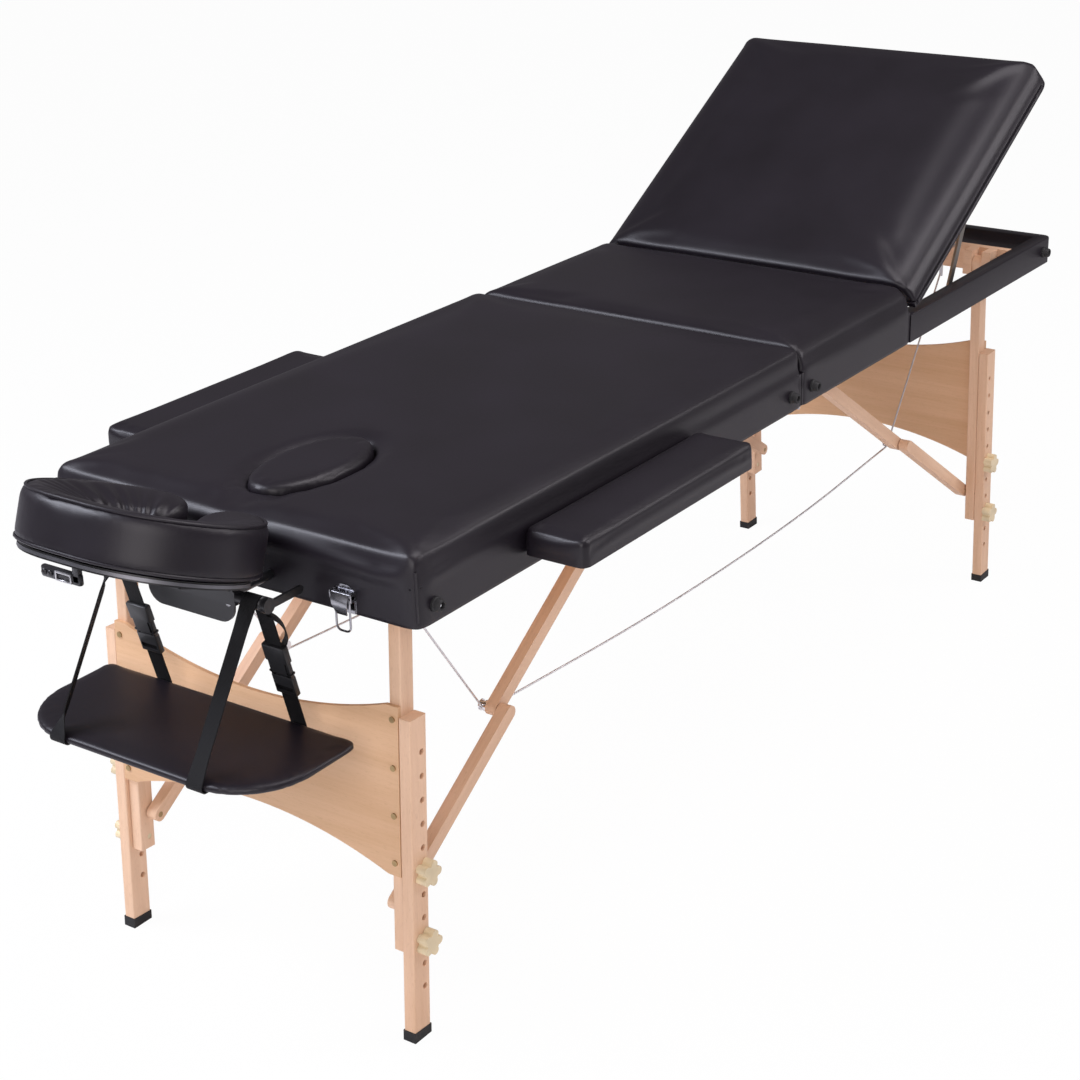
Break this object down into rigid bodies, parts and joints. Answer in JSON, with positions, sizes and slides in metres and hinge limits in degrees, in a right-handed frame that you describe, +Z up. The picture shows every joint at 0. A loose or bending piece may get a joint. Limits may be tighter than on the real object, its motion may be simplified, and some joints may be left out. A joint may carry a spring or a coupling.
{
  "type": "folding massage table",
  "caption": "Folding wooden massage table with padded top, tilting backrest section, face cradle, hanging arm shelf, armrests and adjustable legs.",
  "frame": {"origin": "on the floor, under the middle of the overall length and of the bed's width", "axes": "+X along the table from the face cradle towards the backrest, +Y across it, +Z up"},
  "size_m": [2.1165, 0.811, 0.9604],
  "materials": {
    "beech": "light beech, clear satin lacquer",
    "ply_deck": "plywood",
    "black_leather": "black synthetic leather with a soft sheen",
    "steel": "zinc-plated steel",
    "chrome": "polished chrome plate",
    "rubber": "black rubber",
    "cream_plastic": "cream moulded plastic",
    "black_plastic": "black moulded plastic",
    "black_metal": "black powder coat",
    "webbing": "black woven webbing"
  },
  "bodies": {
    "head_half": {"head_frame": "beech", "head_skin": "black_leather", "head_leg_carrier": "beech", "head_pivot_hardware": "steel", "head_deck": "ply_deck", "head_pad": "black_leather", "cradle_bushings": "black_plastic", "head_hinge_leaves": "steel", "head_bumpers": "rubber", "latch_bases": "chrome", "head_cables": "steel"},
    "centre_pins": {"centre_hinge_pins": "steel"},
    "foot_half": {"foot_frame": "beech", "foot_skin": "black_leather", "foot_leg_carrier": "beech", "foot_pivot_hardware": "steel", "foot_deck": "ply_deck", "foot_pad": "black_leather", "foot_hinge_leaves": "steel", "foot_bumpers": "rubber", "latch_keepers": "chrome", "foot_cables": "steel"},
    "backrest": {"backrest_board": "ply_deck", "backrest_pad": "black_leather"},
    "backrest_props": {"backrest_props": "black_metal"},
    "cradle_carriage": {"cradle_base": "black_metal"},
    "cradle_head": {"cradle_platform": "ply_deck", "cradle_cushion": "black_leather"},
    "cradle_lever": {"cradle_cam_lever": "black_metal"},
    "arm_shelf": {"arm_shelf": "black_leather", "shelf_straps": "webbing", "shelf_buckles": "black_plastic"},
    "right_armrest": {"right_armrest_base": "ply_deck", "right_armrest_pad": "black_leather"},
    "left_armrest": {"left_armrest_base": "ply_deck", "left_armrest_pad": "black_leather"},
    "face_plug": {"face_plug": "black_leather"},
    "right_latch_lever": {"right_latch_lever": "chrome"},
    "left_latch_lever": {"left_latch_lever": "chrome"},
    "head_legs": {"head_inner_legs": "beech", "head_end_panel": "beech", "head_leg_fasteners": "steel"},
    "head_outer_legs": {"head_leg_extensions": "beech", "head_foot_caps": "rubber"},
    "head_right_knobs": {"head_right_knobs": "cream_plastic"},
    "head_left_knobs": {"head_left_knobs": "cream_plastic"},
    "head_lower_braces": {"head_lower_braces": "beech"},
    "head_upper_braces": {"head_upper_braces": "beech", "head_elbow_bolts": "steel"},
    "foot_legs": {"foot_inner_legs": "beech", "foot_end_panel": "beech", "foot_leg_fasteners": "steel"},
    "foot_outer_legs": {"foot_leg_extensions": "beech", "foot_foot_caps": "rubber"},
    "foot_right_knobs": {"foot_right_knobs": "cream_plastic"},
    "foot_left_knobs": {"foot_left_knobs": "cream_plastic"},
    "foot_lower_braces": {"foot_lower_braces": "beech"},
    "foot_upper_braces": {"foot_upper_braces": "beech", "foot_elbow_bolts": "steel"}
  },
  "joints": [
    {"name": "head_half_fold", "type": "hinge", "parent": "centre_pins", "child": "head_half", "pos_m": [0.1292, 0, 0.5915], "axis": [0, -1, 0], "range_deg": [0, 90], "deforming": ["head_cables", "foot_cables"]},
    {"name": "foot_half_fold", "type": "hinge", "parent": "centre_pins", "child": "foot_half", "pos_m": [0.1292, 0, 0.5915], "axis": [0, 1, 0], "range_deg": [0, 90], "deforming": ["head_cables", "foot_cables"]},
    {"name": "head_leg_fold", "type": "hinge", "parent": "head_half", "child": "head_legs", "pos_m": [-0.7428, 0, 0.6165], "axis": [0, -1, 0], "range_deg": [0, 93]},
    {"name": "head_upper_brace_fold", "type": "hinge", "parent": "head_half", "child": "head_upper_braces", "pos_m": [-0.0928, 0, 0.6245], "axis": [0, 1, 0], "range_deg": [0, 33.95]},
    {"name": "head_lower_brace_fold", "type": "hinge", "parent": "head_legs", "child": "head_lower_braces", "pos_m": [-0.75784, 0, 0.17668], "axis": [0, -1, 0], "range_deg": [0, 53.05]},
    {"name": "head_leg_height", "type": "slide", "parent": "head_legs", "child": "head_outer_legs", "axis": [-0.0523, 0, -0.9986], "range_m": [-0.066, 0.132]},
    {"name": "head_right_knob_draw", "type": "slide", "parent": "head_legs", "child": "head_right_knobs", "axis": [0, 1, 0], "range_m": [-0.045, 0]},
    {"name": "head_left_knob_draw", "type": "slide", "parent": "head_legs", "child": "head_left_knobs", "axis": [0, -1, 0], "range_m": [-0.045, 0]},
    {"name": "foot_leg_fold", "type": "hinge", "parent": "foot_half", "child": "foot_legs", "pos_m": [0.9072, 0, 0.6165], "axis": [0, 1, 0], "range_deg": [0, 93]},
    {"name": "foot_upper_brace_fold", "type": "hinge", "parent": "foot_half", "child": "foot_upper_braces", "pos_m": [0.2572, 0, 0.6245], "axis": [0, -1, 0], "range_deg": [0, 33.95]},
    {"name": "foot_lower_brace_fold", "type": "hinge", "parent": "foot_legs", "child": "foot_lower_braces", "pos_m": [0.92224, 0, 0.17668], "axis": [0, 1, 0], "range_deg": [0, 53.05]},
    {"name": "foot_leg_height", "type": "slide", "parent": "foot_legs", "child": "foot_outer_legs", "axis": [0.0523, 0, -0.9986], "range_m": [-0.066, 0.132]},
    {"name": "foot_right_knob_draw", "type": "slide", "parent": "foot_legs", "child": "foot_right_knobs", "axis": [0, 1, 0], "range_m": [-0.045, 0]},
    {"name": "foot_left_knob_draw", "type": "slide", "parent": "foot_legs", "child": "foot_left_knobs", "axis": [0, -1, 0], "range_m": [-0.045, 0]},
    {"name": "backrest_tilt", "type": "hinge", "parent": "foot_half", "child": "backrest", "pos_m": [0.4892, 0, 0.686], "axis": [0, -1, 0], "range_deg": [-30, 30]},
    {"name": "backrest_prop_fold", "type": "hinge", "parent": "foot_half", "child": "backrest_props", "pos_m": [0.7062, 0, 0.62], "axis": [0, -1, 0], "range_deg": [-63.83, 63.83]},
    {"name": "cradle_slide", "type": "slide", "parent": "head_half", "child": "cradle_carriage", "axis": [-1, 0, 0], "range_m": [0, 0.1]},
    {"name": "cradle_tilt", "type": "hinge", "parent": "cradle_carriage", "child": "cradle_head", "pos_m": [-0.8708, 0, 0.636], "axis": [0, 1, 0], "range_deg": [-25, 5]},
    {"name": "cradle_lever_turn", "type": "hinge", "parent": "cradle_carriage", "child": "cradle_lever", "pos_m": [-0.8708, 0, 0.617], "axis": [0, 1, 0], "range_deg": [0, 90]},
    {"name": "shelf_swing", "type": "hinge", "parent": "cradle_carriage", "child": "arm_shelf", "pos_m": [-0.8708, 0, 0.617], "axis": [0, 1, 0], "range_deg": [0, 8]},
    {"name": "right_armrest_pull", "type": "slide", "parent": "head_half", "child": "right_armrest", "axis": [0, -1, 0], "range_m": [0, 0.06]},
    {"name": "left_armrest_pull", "type": "slide", "parent": "head_half", "child": "left_armrest", "axis": [0, 1, 0], "range_m": [0, 0.06]},
    {"name": "face_plug_lift", "type": "slide", "parent": "head_half", "child": "face_plug", "axis": [0, 0, 1], "range_m": [0, 0.08]},
    {"name": "right_latch_turn", "type": "hinge", "parent": "head_half", "child": "right_latch_lever", "pos_m": [-0.8048, 0, 0.619], "axis": [0, 1, 0], "range_deg": [0, 110]},
    {"name": "left_latch_turn", "type": "hinge", "parent": "head_half", "child": "left_latch_lever", "pos_m": [-0.8048, 0, 0.619], "axis": [0, 1, 0], "range_deg": [0, 110]}
  ],
  "couplings": [
    {"joint": "head_leg_fold", "follows": "head_half_fold", "ratio": 1.0333},
    {"joint": "head_upper_brace_fold", "follows": "head_half_fold", "ratio": 0.37728},
    {"joint": "head_lower_brace_fold", "follows": "head_half_fold", "ratio": 0.58939},
    {"joint": "foot_leg_fold", "follows": "foot_half_fold", "ratio": 1.0333},
    {"joint": "foot_upper_brace_fold", "follows": "foot_half_fold", "ratio": 0.37728},
    {"joint": "foot_lower_brace_fold", "follows": "foot_half_fold", "ratio": 0.58939},
    {"joint": "backrest_prop_fold", "follows": "backrest_tilt", "ratio": 2.1273}
  ]
}
